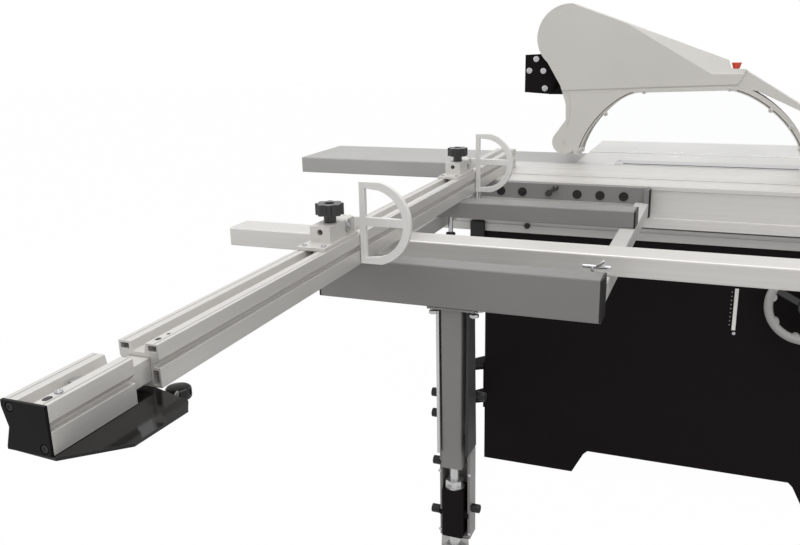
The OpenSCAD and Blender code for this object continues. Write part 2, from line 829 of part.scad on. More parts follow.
// Sliding carriage
module carriage() {
    t = 8;
    slots = [-345, -318, -200, -170, -120, -90, -62];
    color(alloy) place() along_y(car_y, car_l) difference() {
        polygon([[car_x, table_h], [car_x1, table_h], [car_x1, lip_z + 2], [lip_x, lip_z],
            [lip_x - (lip_z - car_z), car_z], [car_x, car_z], [car_x, car_z + 27],
            [car_x + 4, car_z + 28], [car_x + 4, car_z + 54], [car_x + 8, car_z + 58],
            [car_x + 8, table_h - 13], [car_x, table_h - 11]]);
        translate([rib_x[0] - 1, car_z - 1])
            square([rib_x[1] - rib_x[0] + 2, rib_z - car_z + 1 + slide_gap]);
        translate([car_x + 15, car_z + t]) square([rib_x[0] - car_x - 25, 50]);
        translate([rib_x[0] + 4, rib_z + t]) square([rib_x[1] - rib_x[0] - 8, lip_z - rib_z - t - 10]);
        translate([rib_x[1] + 9, car_z + t]) square([60, lip_z - car_z - t - 4]);
        polygon([[lip_x - 98, car_z + 20], [lip_x - 98, lip_z - 6], [lip_x - 26, lip_z - 6]]);
        translate([-272, table_h - 10]) square([12, 11]);
        translate([-277, table_h - 18]) square([22, 9]);
        for (x = slots) translate([x, table_h - 1.5]) square([3, 3]);
    }
}

module hook_channel() {
    t = 4;
    z1 = table_h - 2;
    color(grey) place() difference() {
        union() {
            along_y(channel_front, frame_rear - channel_front - 40) difference() {
                translate([channel_x, channel_z]) square([car_x - channel_x, z1 - channel_z]);
                translate([channel_x + t, channel_z + t]) square([60, z1 - channel_z - 2 * t]);
            }
            for (y = [frame_front + 5, frame_rear - 16])
                block([bracket_x, y, bar_z - 3], [car_x, y + 12, z1 - 3]);
        }
        for (y = plug_y) rod_x([channel_x - 20, y, plug_z], plug_r + run_gap, 30);
        for (y = [frame_front + 5, frame_rear - 16]) block([bracket_x - 1, y - 40, bar_z - 4],
            [channel_x - 2, y + 40, bar_z1]);
    }
}

module channel_knob() {
    color(black) place() translate([channel_x - 2.5 - slide_gap, plug_y[3], plug_z]) rotate([0, -90, 0]) {
        translate([0, 0, -8]) cylinder(r = plug_r, h = 9);
        cylinder(r = 8, h = 10);
        translate([0, 0, 7]) rotate([90, 0, 40]) cylinder(r1 = 4, r2 = 5, h = 22);
        translate([0, 0, 7]) rotate([0, 0, 40]) translate([0, -26, 0]) sphere(8);
    }
}

// Outrigger frame
module outer_beam() {
    color(grey) place() along_y(frame_front, outer_l)
        tube_section([-outer_x, bar_z], [-outer_x + outer_w, table_h], tube_t);
}

module inner_beam() {
    color(grey) place() along_y(frame_front + 9, outer_l - 9)
        tube_section([-inner_x, bar_z1], [-inner_x + inner_w, table_h], tube_t);
}

module cross_bars() {
    x0 = -outer_x + outer_w;
    color(pale) place() for (y = [frame_front + 5, frame_rear - 5 - bar_w]) along_x(x0, channel_x - 2 - x0)
        tube_section([y, bar_z], [y + bar_w, bar_z1], tube_t);
}

module beam_cap(x, w, z, h, y, out) {
    plug = 12;
    gap = tube_t + 0.5;
    along_y(out > 0 ? y : y - cap_t, cap_t) soft_rect([x, z], [x + w, z + h], tube_t + 1);
    along_y(out > 0 ? y - plug : y, plug) translate([x + gap, z + gap]) square([w - 2 * gap, h - 2 * gap]);
}

module beam_caps() {
    color(black) place() {
        beam_cap(-outer_x, outer_w, bar_z, outer_h, frame_front, -1);
        beam_cap(-outer_x, outer_w, bar_z, outer_h, frame_rear, 1);
        beam_cap(-inner_x, inner_w, bar_z1, support_h, frame_front + 9, -1);
        beam_cap(-inner_x, inner_w, bar_z1, support_h, frame_rear, 1);
    }
}

module support_beam() {
    color(pale) place() along_y(support_rear - support_l, support_l) difference() {
        soft_rect([-support_x, bar_z1], [-support_x + support_w, table_h], 4);
        for (x = [0, 1]) translate([-support_x + 3 + x * (support_w / 2 - 1), bar_z1 + 3])
            square([support_w / 2 - 5, support_h - 6]);
    }
}

// Crosscut fence section: two tubes on top, a track between them and an undercut groove in front
module fence_outline() {
    difference() {
        square([fence_w, fence_h]);
        polygon([[-1, 26], [8, 26], [8, 29], [-1, 37.5]]);
        polygon([[fence_w + 1, 13], [fence_w - 6.5, 26], [fence_w + 1, 39]]);
    }
}

module fence_section(d) {
    difference() {
        fence_outline();
        translate([tongue[0] + d, tongue[1] + d])
            square([tongue[2] - tongue[0] - 2 * d, tongue[3] - tongue[1] - 2 * d]);
        polygon([[18, fence_h + 1], [fence_w - 18, fence_h + 1], [fence_w - 21, 44], [21, 44]]);
        for (x = [3, fence_w - 15]) translate([x, 46]) square([12, fence_h - 49]);
        translate([3, 3]) square([8, 19]);
        translate([fence_w - 10, 3]) square([7, 8]);
    }
}

module crosscut_fence() {
    color(alloy) place() along_x(fence_x, fence_l) translate([fence_y, table_h]) fence_section(0);
}

module fence_extension() {
    g = slide_gap;
    color(alloy) place() {
        along_x(head_x, head_l) translate([fence_y, table_h]) fence_section(6);
        along_x(head_x + head_l - 1, tongue_l + 1) translate([fence_y, table_h]) difference() {
            translate([tongue[0] + g, tongue[1] + g])
                square([tongue[2] - tongue[0] - 2 * g, tongue[3] - tongue[1] - 2 * g]);
            translate([tongue[0] + 6, tongue[1] + 6])
                square([tongue[2] - tongue[0] - 12, tongue[3] - tongue[1] - 12]);
        }
    }
}

module extension_cap() {
    color(black) place() difference() {
        along_x(head_x - cap_t, cap_t) translate([fence_y, table_h]) difference() {
            square([fence_w, fence_h]);
            polygon([[fence_w + 1, 0], [fence_w - 6.5, 26], [fence_w + 1, 52]]);
        }
        for (p = [[8, 8], [fence_w - 11, fence_h - 7]])
            rod_x([head_x - cap_t - 1, fence_y + p.x, table_h + p.y], 5.5, 3.5);
    }
}

module extension_plate() {
    t = 4;
    z0 = table_h - t - slide_gap;
    color(black) place() translate([head_x, fence_y, z0]) linear_extrude(t) difference() {
        polygon([[2, 54], [-2, -3], [50, -59], [139, -63], [158, -50], [178, 12], [178, 54]]);
        translate([60, 30]) circle(4);
    }
}

module extension_handle() {
    p = [head_x + 150, fence_y - 32, table_h - 4 - slide_gap];
    color(black) place() translate(p) {
        translate([0, 0, -10]) cylinder(r = 9, h = 10);
        translate([0, 0, -34]) linear_extrude(24) rotate(35) soft_rect([-22, -17], [92, 17], 16);
    }
}

module fence_clamps() {
    rod = 6;
    color(steel) place() for (p = [[-inner_x + inner_w + 20, 12], [-inner_x - 20, 22]])
        translate([p.x, fence_y + p.y, 0]) {
            rod_z([0, 0, bar_z - 14], rod, table_h - bar_z + 14);
            rod_z([0, 0, bar_z - 22], 2 * rod, 8);
        }
}

// Flip stops
module stop_block(at) {
    color(pale) place() translate([-at, 0, 0]) difference() {
        union() {
            block([-140, fence_y + 3, fence_z1 + slide_gap], [-6, fence_y + fence_w - 3, fence_z1 + 6]);
            block([-104, pivot_y - 19, fence_z1 + 5], [-6, pivot_y + 19, pivot_z + 10]);
            block([-120, pivot_y - 6.5, fence_z1 - 10], [-20, pivot_y + 6.5, fence_z1 + 1]);
            rod_x([-10, pivot_y, pivot_z], pin_r, 4 + flag_t + 8);
            rod_x([flag_t / 2 + slide_gap, pivot_y, pivot_z], pin_r + 4, 6);
        }
        rod_x([-105, pivot_y, pivot_z], pin_r, 60);
        rod_z([-63, pivot_y, pivot_z - 10], 5 + run_gap, 40);
    }
}

module stop_flag(at) {
    rim = 11;
    half = flag_h / 2;
    r = (half * half + flag_reach * flag_reach) / (2 * flag_reach);
    color(pale) place() translate([-at - flag_t / 2 - slide_gap / 2, 0, 0]) difference() {
        union() {
            along_x(0, flag_t) translate([fence_y - 1, flag_z + half]) difference() {
                intersection() {
                    translate([-flag_reach + r, 0]) circle(r);
                    translate([-flag_reach, -half]) square([flag_reach, flag_h]);
                }
                intersection() {
                    translate([-flag_reach + r, 0]) circle(r - rim);
                    translate([-flag_reach, -half + rim]) square([flag_reach - rim, flag_h - 2 * rim]);
                }
            }
            block([0, fence_y - flag_reach + rim / 2, pivot_z - 8], [flag_t, pivot_y, pivot_z + 8]);
            rod_x([0, pivot_y, pivot_z], pin_r + 6, flag_t);
        }
        rod_x([-1, pivot_y, pivot_z], pin_r + run_gap, flag_t + 2);
    }
}

module stop_knob(at) {
    lobes = 8;
    color(black) place() translate([-at - 63, pivot_y, pivot_z + 10 + slide_gap]) {
        translate([0, 0, -16]) cylinder(r = 5, h = 18);
        cylinder(r = 11, h = 14);
        translate([0, 0, 13]) difference() {
            cylinder(r = stop_knob_d / 2, h = 20);
            for (i = [0:lobes - 1]) rotate(i * 360 / lobes)
                translate([stop_knob_d / 2 + 4, 0, -1]) cylinder(r = 8, h = 22);
            translate([0, 0, 15]) cylinder(r = 9, h = 6);
        }
    }
}

module wing_lever() {
    p = [-outer_x + outer_w + 14, frame_front + 5 + bar_w / 2, bar_z1 + slide_gap];
    color(steel) place() translate(p) {
        cylinder(r = 9, h = 6);
        cylinder(r = 4, h = 62);
        rod_y([0, -14, 60], 4.5, 52);
        translate([0, 0, 60]) rotate([-50, 0, 20]) cylinder(r = 4, h = 24);
    }
}

// Post under the outer beam
module post() {
    half = post_w / 2;
    color(grey) place() translate([post_x, post_y, 0]) difference() {
        union() {
            translate([0, 0, post_z]) linear_extrude(post_l)
                tube_section([-half, -half], [half, half], tube_t);
            block([-39, -52, post_z1], [39, 52, bar_z]);
            block([-half + 1, -half + 1, post_z + 1], [half - 1, half - 1, post_z + 14]);
        }
        rod_z([0, 0, post_z - 1], rod_r + run_gap, 30);
    }
}

module post_plates() {
    t = 6;
    z0 = block_z1 - block_h - 10;
    color(pale) place() translate([post_x, post_y, 0]) for (s = [0, 1]) mirror([0, s, 0])
        translate([0, plates_gap / 2 + 6 + t, 0]) rotate([90, 0, 0]) linear_extrude(t)
            polygon([[-28, z0 + 190], [28, z0 + 190], [17, post_z1], [-17, post_z1]]);
}

module end_bracket() {
    z0 = block_z1 - block_h - 10;
    half = plates_gap / 2 + 6;
    color(grey) place() translate([post_x, post_y, z0]) difference() {
        block([-30, -half, 0], [30, half, 207]);
        block([-31, -plates_gap / 2, 6], [24, plates_gap / 2, 208]);
        block([-31, -plates_gap / 2 + 8, 150], [31, plates_gap / 2 - 8, 208]);
        rod_z([0, 0, -1], rod_r + 2, 10);
        for (s = [0, 1]) mirror([0, s, 0]) block([-31, half - 0.2, 180], [31, half + 1, 208]);
    }
}

module anchor_block() {
    half = 21;
    color(black) place() translate([post_x, post_y, block_z1 - block_h]) difference() {
        union() {
            translate([0, 0, -4]) linear_extrude(block_h + 4) soft_rect([-half, -half], [half, half], 4);
            rod_y([0, -plates_gap / 2, 40], 9, plates_gap);
        }
        rod_z([0, 0, -10], rod_r + run_gap, block_h + 20);
    }
}

module post_rod() {
    color(steel) place() translate([post_x, post_y, 0]) {
        rod_z([0, 0, disc_z + slide_gap], rod_r, post_z + 60 - disc_z);
        rod_z([0, 0, block_z1], 19, 3);
        rod_z([0, 0, disc_z + slide_gap], 16, 8);
        translate([0, 0, block_z1 + 3]) cylinder(r = 18, h = 13, $fn = 6);
    }
}

// Swing arm, modelled along +X from its hinge and then turned to point at the post
module at_hinge() {
    place() translate([-hinge_x, hinge_y, 0]) rotate(arm_angle) children();
}

module arm_bracket() {
    base = [-cab_left + 5, -cab_left + 120];
    ear = [arm_z - 14, arm_z + arm_h + 6];
    color(black) place() {
        block([base[0], cab_rear, arm_z - 30], [base[1], cab_rear + 6, arm_z + arm_h + 30]);
        for (z = ear) translate([0, 0, z]) linear_extrude(8) {
            translate([-hinge_x, hinge_y]) circle(28);
            polygon([[base[0], cab_rear + 5], [base[1], cab_rear + 5], [-hinge_x + 24, hinge_y + 15],
                [-hinge_x - 28, hinge_y]]);
        }
        rod_z([-hinge_x, hinge_y, arm_z - 20], hinge_pin_r, arm_h + 40);
    }
}

module swing_arm() {
    half = arm_w / 2;
    color(grey) at_hinge() difference() {
        union() {
            rod_z([0, 0, arm_z - 5], 26, arm_h + 10);
            block([10, -half, arm_z], [arm_l, half, arm_z + arm_h]);
            for (z = [arm_z - 5, arm_z + arm_h]) block([0, -8, z], [220, 8, z + 5]);
        }
        block([42, -half + arm_wall, arm_z + arm_wall],
            [arm_l + 1, half - arm_wall, arm_z + arm_h - arm_wall]);
        rod_z([0, 0, arm_z - 10], hinge_pin_r + run_gap, arm_h + 20);
    }
}

module arm_slide() {
    half = arm_w / 2 - arm_wall - slide_gap;
    z0 = arm_z + arm_wall + slide_gap;
    x0 = 240;
    color(pale) at_hinge() {
        difference() {
            block([x0, -half, z0], [arm_len + 44, half, inner_arm_z1]);
            block([x0 - 1, -half + 4, z0 + 4], [arm_len + 40, half - 4, inner_arm_z1 - 4]);
        }
        rod_z([arm_len, 0, inner_arm_z1 - eps], 24, disc_z - inner_arm_z1);
    }
}

cabinet();
main_table();
table_insert();
rear_table();
base_rail();
rail_saddles();
trunnions();
rip_rail();
dust_port();
switch_box();
start_button();
stop_button();
guard_boom();
guard_bracket();
arm_bracket();
carriage();
hook_channel();
outer_beam();
inner_beam();
cross_bars();
beam_caps();
support_beam();
crosscut_fence();
fence_clamps();
post();
post_plates();
end_bracket();
anchor_block();
post_rod();
wing_lever();
channel_knob();
fence_extension();
extension_cap();
extension_plate();
extension_handle();
stop_block(stop_at[0]);  // stop_block_1
stop_flag(stop_at[0]);  // stop_flag_1
stop_knob(stop_at[0]);  // stop_knob_1
stop_block(stop_at[1]);  // stop_block_2
stop_flag(stop_at[1]);  // stop_flag_2
stop_knob(stop_at[1]);  // stop_knob_2
swing_arm();
arm_slide();
tilt_cradle();
scoring_blade();
arbor_slide();
motor();
drive_belt();
riving_knife();
arbor();
saw_blade();
motor_pulley();
height_wheel();
tilt_wheel();
guard_shell();
guard_windows();
guard_knob();
rip_head();
rip_plate();
rip_lever();
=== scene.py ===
import json
import math
import bpy
from mathutils import Matrix, Vector


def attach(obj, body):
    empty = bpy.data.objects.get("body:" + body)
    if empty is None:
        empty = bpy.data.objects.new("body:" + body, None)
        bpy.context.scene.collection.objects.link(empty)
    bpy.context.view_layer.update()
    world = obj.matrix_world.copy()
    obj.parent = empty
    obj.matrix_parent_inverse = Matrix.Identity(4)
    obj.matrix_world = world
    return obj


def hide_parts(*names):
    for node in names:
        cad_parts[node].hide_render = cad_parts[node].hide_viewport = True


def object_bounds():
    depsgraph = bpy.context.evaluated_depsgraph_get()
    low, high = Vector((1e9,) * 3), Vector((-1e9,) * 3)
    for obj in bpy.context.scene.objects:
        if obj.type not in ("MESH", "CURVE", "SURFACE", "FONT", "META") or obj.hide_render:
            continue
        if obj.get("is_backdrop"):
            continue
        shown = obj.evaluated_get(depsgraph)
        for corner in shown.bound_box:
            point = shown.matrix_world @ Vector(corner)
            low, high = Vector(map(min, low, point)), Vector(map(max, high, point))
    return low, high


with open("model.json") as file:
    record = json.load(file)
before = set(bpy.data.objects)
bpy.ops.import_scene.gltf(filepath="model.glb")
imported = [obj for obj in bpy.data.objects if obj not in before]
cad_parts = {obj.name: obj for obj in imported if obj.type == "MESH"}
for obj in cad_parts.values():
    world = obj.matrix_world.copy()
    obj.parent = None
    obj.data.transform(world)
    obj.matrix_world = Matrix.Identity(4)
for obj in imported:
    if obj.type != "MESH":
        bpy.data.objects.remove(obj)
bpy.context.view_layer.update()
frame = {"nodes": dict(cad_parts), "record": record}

nodes = frame["nodes"]
node_body = {n: b for b, ns in frame["record"]["behaviour"]["bodies"].items() for n in ns}
node_slot = {s["node"]: s["material_slot"] for s in frame["record"]["subparts"]}


MM = 1000.0
DATUM_X, DATUM_Y = -724.0, 107.5


# A place on the machine, counted in millimetres from the blade plane, the arbor line and the floor
def at(x, y, z):
    return Vector(((x - DATUM_X) / MM, (y - DATUM_Y) / MM, z / MM))


# The same count for a place in the scene
def told(p):
    return p.x * MM + DATUM_X, p.y * MM + DATUM_Y, p.z * MM


def tint(r, g, b):
    def one(v):
        v /= 255
        return v / 12.92 if v <= 0.04045 else ((v + 0.055) / 1.055) ** 2.4
    return (one(r), one(g), one(b), 1.0)


# Shader groups shared by the finishes

def new_group(name, ins, outs):
    g = bpy.data.node_groups.new(name, "ShaderNodeTree")
    for label, kind, value in ins:
        s = g.interface.new_socket(label, in_out="INPUT", socket_type=kind)
        s.default_value = value
    for label, kind in outs:
        g.interface.new_socket(label, in_out="OUTPUT", socket_type=kind)
    return g, g.nodes.new("NodeGroupInput"), g.nodes.new("NodeGroupOutput")


def ramp(tree, source, lo, hi, a=0.0, b=1.0):
    n = tree.nodes.new("ShaderNodeMapRange")
    n.inputs["From Min"].default_value = lo
    n.inputs["From Max"].default_value = hi
    n.inputs["To Min"].default_value = a
    n.inputs["To Max"].default_value = b
    tree.links.new(source, n.inputs["Value"])
    return n.outputs["Result"]


# Cloudy unevenness of a coat, and its orange peel
def coat_group():
    g, i, o = new_group("coat_texture",
                        [("Cloud Scale", "NodeSocketFloat", 6.0), ("Peel Scale", "NodeSocketFloat", 900.0)],
                        [("Cloud", "NodeSocketFloat"), ("Peel", "NodeSocketFloat")])
    c = g.nodes.new("ShaderNodeTexCoord")
    cloud = g.nodes.new("ShaderNodeTexNoise")
    cloud.inputs["Detail"].default_value = 5.0
    peel = g.nodes.new("ShaderNodeTexNoise")
    peel.inputs["Detail"].default_value = 2.0
    for n, k in ((cloud, "Cloud Scale"), (peel, "Peel Scale")):
        g.links.new(c.outputs["Object"], n.inputs["Vector"])
        g.links.new(i.outputs[k], n.inputs["Scale"])
    g.links.new(ramp(g, cloud.outputs["Fac"], 0.3, 0.7), o.inputs["Cloud"])
    g.links.new(peel.outputs["Fac"], o.inputs["Peel"])
    return g


# Fine lines left by a die or a belt, long in one direction
def lines_group():
    g, i, o = new_group("drawn_lines", [("Stretch", "NodeSocketVector", (400.0, 4.0, 400.0))],
                        [("Fine", "NodeSocketFloat"), ("Broad", "NodeSocketFloat")])
    c = g.nodes.new("ShaderNodeTexCoord")
    m = g.nodes.new("ShaderNodeVectorMath")
    m.operation = "MULTIPLY"
    g.links.new(c.outputs["Object"], m.inputs[0])
    g.links.new(i.outputs["Stretch"], m.inputs[1])
    fine = g.nodes.new("ShaderNodeTexNoise")
    fine.inputs["Scale"].default_value = 3.0
    fine.inputs["Detail"].default_value = 3.0
    broad = g.nodes.new("ShaderNodeTexNoise")
    broad.inputs["Scale"].default_value = 0.35
    broad.inputs["Detail"].default_value = 4.0
    for n in (fine, broad):
        g.links.new(m.outputs["Vector"], n.inputs["Vector"])
    g.links.new(fine.outputs["Fac"], o.inputs["Fine"])
    g.links.new(ramp(g, broad.outputs["Fac"], 0.3, 0.7), o.inputs["Broad"])
    return g


# Thin random scratches and handling marks; on the ground table iron the same patches carry a painted reflection
def marks_group():
    g, i, o = new_group("handling_marks_and_painted_reflection", [("Scale", "NodeSocketFloat", 14.0)], [("Mark", "NodeSocketFloat")])
    c = g.nodes.new("ShaderNodeTexCoord")
    n = g.nodes.new("ShaderNodeTexNoise")
    n.inputs["Detail"].default_value = 8.0
    n.inputs["Roughness"].default_value = 0.7
    n.inputs["Distortion"].default_value = 1.2
    g.links.new(c.outputs["Object"], n.inputs["Vector"])
    g.links.new(i.outputs["Scale"], n.inputs["Scale"])
    g.links.new(ramp(g, n.outputs["Fac"], 0.62, 0.74), o.inputs["Mark"])
    return g


COAT = coat_group()
LINES = lines_group()
MARKS = marks_group()


def start(name):
    m = bpy.data.materials.new(name)
    m.use_nodes = True
    t = m.node_tree
    return m, t, t.nodes["Principled BSDF"]


def place_group(t, g, **values):
    n = t.nodes.new("ShaderNodeGroup")
    n.node_tree = g
    for k, v in values.items():
        n.inputs[k.replace("_", " ")].default_value = v
    return n


def mix_tint(t, mask, a, b):
    n = t.nodes.new("ShaderNodeMix")
    n.data_type = "RGBA"
    n.inputs[6].default_value = a
    n.inputs[7].default_value = b
    t.links.new(mask, n.inputs[0])
    return n


def shade(c, k):
    return (c[0] * k, c[1] * k, c[2] * k, 1.0)


def emboss(t, height, bsdf, strength, distance):
    b = t.nodes.new("ShaderNodeBump")
    b.inputs["Strength"].default_value = strength
    b.inputs["Distance"].default_value = distance
    t.links.new(height, b.inputs["Height"])
    t.links.new(b.outputs["Normal"], bsdf.inputs["Normal"])


# Sprayed enamel or moulded plastic: cloudy tone, orange peel and a few rubbed marks
def coated(name, colour, rough, peel=900.0, depth=0.1, uneven=0.06, worn=0.05, metallic=0.0, gloss=0.5):
    m, t, b = start(name)
    tex = place_group(t, COAT, Cloud_Scale=5.0, Peel_Scale=peel)
    mark_patches = place_group(t, MARKS, Scale=9.0)
    tone = mix_tint(t, tex.outputs["Cloud"], shade(colour, 1 - uneven), shade(colour, 1 + uneven))
    both = mix_tint(t, ramp(t, mark_patches.outputs["Mark"], 0, 1, 0, worn * 4), colour, shade(colour, 1 + worn * 6))
    t.links.new(tone.outputs[2], both.inputs[6])
    t.links.new(both.outputs[2], b.inputs["Base Color"])
    t.links.new(ramp(t, tex.outputs["Cloud"], 0, 1, rough * 0.88, min(1.0, rough * 1.12)), b.inputs["Roughness"])
    b.inputs["Metallic"].default_value = metallic
    b.inputs["Specular IOR Level"].default_value = gloss
    emboss(t, tex.outputs["Peel"], b, depth, 0.0006)
    return m


# Bare or anodised metal with lines along one direction
def drawn(name, colour, rough, stretch, metallic=1.0, uneven=0.08, depth=0.08, marks=0.05):
    m, t, b = start(name)
    tex = place_group(t, LINES, Stretch=stretch)
    mark_patches = place_group(t, MARKS, Scale=11.0)
    tone = mix_tint(t, tex.outputs["Broad"], shade(colour, 1 - uneven), shade(colour, 1 + uneven))
    both = mix_tint(t, ramp(t, mark_patches.outputs["Mark"], 0, 1, 0, marks * 6), colour, shade(colour, 1 - marks * 3))
    t.links.new(tone.outputs[2], both.inputs[6])
    t.links.new(both.outputs[2], b.inputs["Base Color"])
    t.links.new(ramp(t, tex.outputs["Fine"], 0.3, 0.7, rough * 0.8, rough * 1.25), b.inputs["Roughness"])
    b.inputs["Metallic"].default_value = metallic
    emboss(t, tex.outputs["Fine"], b, depth, 0.0004)
    return m


# Ground cast iron: fine random grain, faint cloudy patches, and warm patches that are a painted reflection of
# orange stickers
def ground_iron(name, colour, rough):
    m, t, b = start(name)
    tex = place_group(t, COAT, Cloud_Scale=3.0, Peel_Scale=1600.0)
    mark_patches = place_group(t, MARKS, Scale=5.0)
    tone = mix_tint(t, tex.outputs["Cloud"], shade(colour, 0.92), shade(colour, 1.06))
    # Warm tint in the random patches: painted reflection of orange stickers on the table
    sticker_reflection = mix_tint(t, ramp(t, mark_patches.outputs["Mark"], 0, 1, 0, 0.45), colour, tint(214, 178, 152))
    t.links.new(tone.outputs[2], sticker_reflection.inputs[6])
    t.links.new(sticker_reflection.outputs[2], b.inputs["Base Color"])
    t.links.new(ramp(t, tex.outputs["Peel"], 0.3, 0.7, rough * 0.8, rough * 1.25), b.inputs["Roughness"])
    b.inputs["Metallic"].default_value = 0.75
    emboss(t, tex.outputs["Peel"], b, 0.12, 0.0004)
    return m


# Clear polycarbonate with faint smears
def clear_sheet(name):
    m, t, b = start(name)
    tex = place_group(t, COAT, Cloud_Scale=7.0, Peel_Scale=40.0)
    b.inputs["Base Color"].default_value = (0.96, 0.97, 0.98, 1.0)
    t.links.new(ramp(t, tex.outputs["Cloud"], 0, 1, 0.02, 0.07), b.inputs["Roughness"])
    b.inputs["Transmission Weight"].default_value = 1.0
    b.inputs["IOR"].default_value = 1.02
    b.inputs["Alpha"].default_value = 0.16
    b.inputs["Specular IOR Level"].default_value = 0.3
    emboss(t, tex.outputs["Peel"], b, 0.02, 0.0005)
    return m


ALONG_X = (3.0, 420.0, 420.0)
ALONG_Y = (420.0, 3.0, 420.0)
ALONG_Z = (420.0, 420.0, 3.0)
enamel = dict(peel=500, depth=0.08, uneven=0.03, worn=0.02)
bright_moulding = dict(peel=1200, depth=0.08, uneven=0.05, worn=0.02)
finish_of = {
    "black_paint": coated("black_textured_enamel", tint(21, 18, 19), 0.6,
                          peel=1100, depth=0.3, uneven=0.12, worn=0.02, gloss=0.07),
    "grey_paint": coated("mid_grey_enamel", tint(134, 132, 131), 0.4, gloss=0.3, **enamel),
    "pale_paint": coated("pale_grey_enamel", tint(196, 195, 192), 0.4, gloss=0.3, **enamel),
    "cast_table": ground_iron("ground_table_iron", tint(212, 211, 208), 0.34),
    "cast_dark": coated("raw_casting", tint(92, 95, 98), 0.6,
                        peel=500, depth=0.6, uneven=0.12, worn=0.05, metallic=0.4),
    "alloy": drawn("anodised_extrusion_y", tint(206, 204, 200), 0.42, ALONG_Y, metallic=0.35, uneven=0.03),
    "steel": drawn("brushed_steel", tint(190, 190, 190), 0.3, ALONG_Z, metallic=0.8),
    "bright": drawn("bright_plating", tint(176, 176, 178), 0.26, ALONG_Z, uneven=0.03, depth=0.03),
    "black_plastic": coated("black_moulding", tint(24, 23, 23), 0.4,
                            peel=1500, depth=0.12, uneven=0.1, worn=0.03, gloss=0.3),
    "guard_plastic": coated("guard_moulding", tint(205, 203, 198), 0.45,
                            peel=1300, depth=0.1, uneven=0.02, worn=0.01, gloss=0.35),
    "clear": clear_sheet("clear_polycarbonate"),
    "red_plastic": coated("red_orange_moulding", tint(226, 78, 48), 0.35, **bright_moulding),
    "green_plastic": coated("green_moulding", tint(40, 130, 62), 0.35, **bright_moulding),
    "belt": coated("belt_rubber", tint(26, 26, 27), 0.8,
                   peel=900, depth=0.3, uneven=0.15, worn=0.03, gloss=0.2),
    "silver": coated("silver_white_enamel", tint(232, 231, 228), 0.36,
                     peel=600, depth=0.06, uneven=0.03, worn=0.02),
}
alloy_x = drawn("anodised_extrusion_x", tint(204, 202, 198), 0.42, ALONG_X, metallic=0.35, uneven=0.03)
alloy_side = drawn("satin_beam", tint(208, 206, 202), 0.4, ALONG_Y, metallic=0.3, uneven=0.03)
wheel_grey = coated("wheel_enamel", tint(168, 167, 165), 0.42,
                    peel=600, depth=0.1, uneven=0.05, worn=0.03, gloss=0.3)
rear_grey = coated("rear_table_enamel", tint(166, 165, 163), 0.36, **enamel)
gloss_black = coated("gloss_black_enamel", tint(18, 17, 18), 0.1,
                     peel=500, depth=0.02, uneven=0.1, worn=0.02, gloss=0.3)
post_grey = coated("post_enamel", tint(134, 132, 131), 0.4,
                   peel=500, depth=0.08, uneven=0.04, worn=0.02, gloss=0.3)
# Dark grey for the south side plate: painted shade for the shaded south side of the post; the north plate keeps
# the plates' own finish
plate_painted_shade = coated("south_plate_painted_shade", tint(64, 63, 63), 0.5,
                    peel=700, depth=0.1, uneven=0.06, worn=0.02, gloss=0.1)
# The end cap's tone is darker than the other black mouldings: painted shade for its west- and down-facing sides;
# its low gloss is the moulding's own
cap_black = coated("cap_moulding", tint(16, 15, 15), 0.5,
                   peel=1500, depth=0.1, uneven=0.08, worn=0.02, gloss=0.1)
knob_black = coated("knob_moulding", tint(30, 29, 29), 0.3,
                    peel=1500, depth=0.08, uneven=0.08, worn=0.03, gloss=0.55)
seal_grey = coated("seal_rubber", tint(96, 94, 92), 0.7,
                   peel=1200, depth=0.1, uneven=0.08, worn=0.02, gloss=0.1)
own_finish = {
    "crosscut_fence": alloy_x, "fence_extension": alloy_x, "stop_block_1": alloy_x, "stop_block_2": alloy_x,
    "support_beam": alloy_side, "height_wheel": wheel_grey, "tilt_wheel": wheel_grey, "rear_table": rear_grey,
    "extension_plate": gloss_black, "extension_handle": gloss_black, "post": post_grey, "end_bracket": post_grey,
    "extension_cap": cap_black, "stop_knob_1": knob_black, "stop_knob_2": knob_black, "channel_knob": knob_black,
}
black = finish_of["black_plastic"]
plated = finish_of["bright"]
guard_grey = finish_of["guard_plastic"]
# Mid grey for the painted shade lines along the fence rails and for the scale's printed dots
rail_shade_and_dot_grey = finish_of["grey_paint"]


def finish_for(node):
    return own_finish.get(node) or finish_of[node_slot[node]]


def coat_with(o, m):
    o.data.materials.clear()
    o.data.materials.append(m)


# A piece's finish and the body it rides on
def fit_out(o, finish, body):
    coat_with(o, finish)
    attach(o, body)


for n, o in nodes.items():
    coat_with(o, finish_for(n))


# Tools for shaping a piece

def only(o):
    bpy.ops.object.select_all(action="DESELECT")
    o.select_set(True)
    bpy.context.view_layer.objects.active = o


def apply_all(o):
    only(o)
    for m in list(o.modifiers):
        bpy.ops.object.modifier_apply(modifier=m.name)


def smooth(o, angle=0.6):
    only(o)
    bpy.ops.object.shade_smooth_by_angle(angle=angle)


def break_edges(o, width, segments, angle=None):
    b = o.modifiers.new("edge", "BEVEL")
    b.width = width / MM
    b.segments = segments
    b.limit_method = "ANGLE"
    if angle:
        b.angle_limit = angle
    apply_all(o)


# Edit mode, with only the wanted faces picked
def pick(o, wanted):
    bpy.ops.object.mode_set(mode="EDIT")
    bpy.ops.mesh.select_all(action="DESELECT")
    bpy.ops.object.mode_set(mode="OBJECT")
    for f in o.data.polygons:
        f.select = wanted(f)
    bpy.ops.object.mode_set(mode="EDIT")


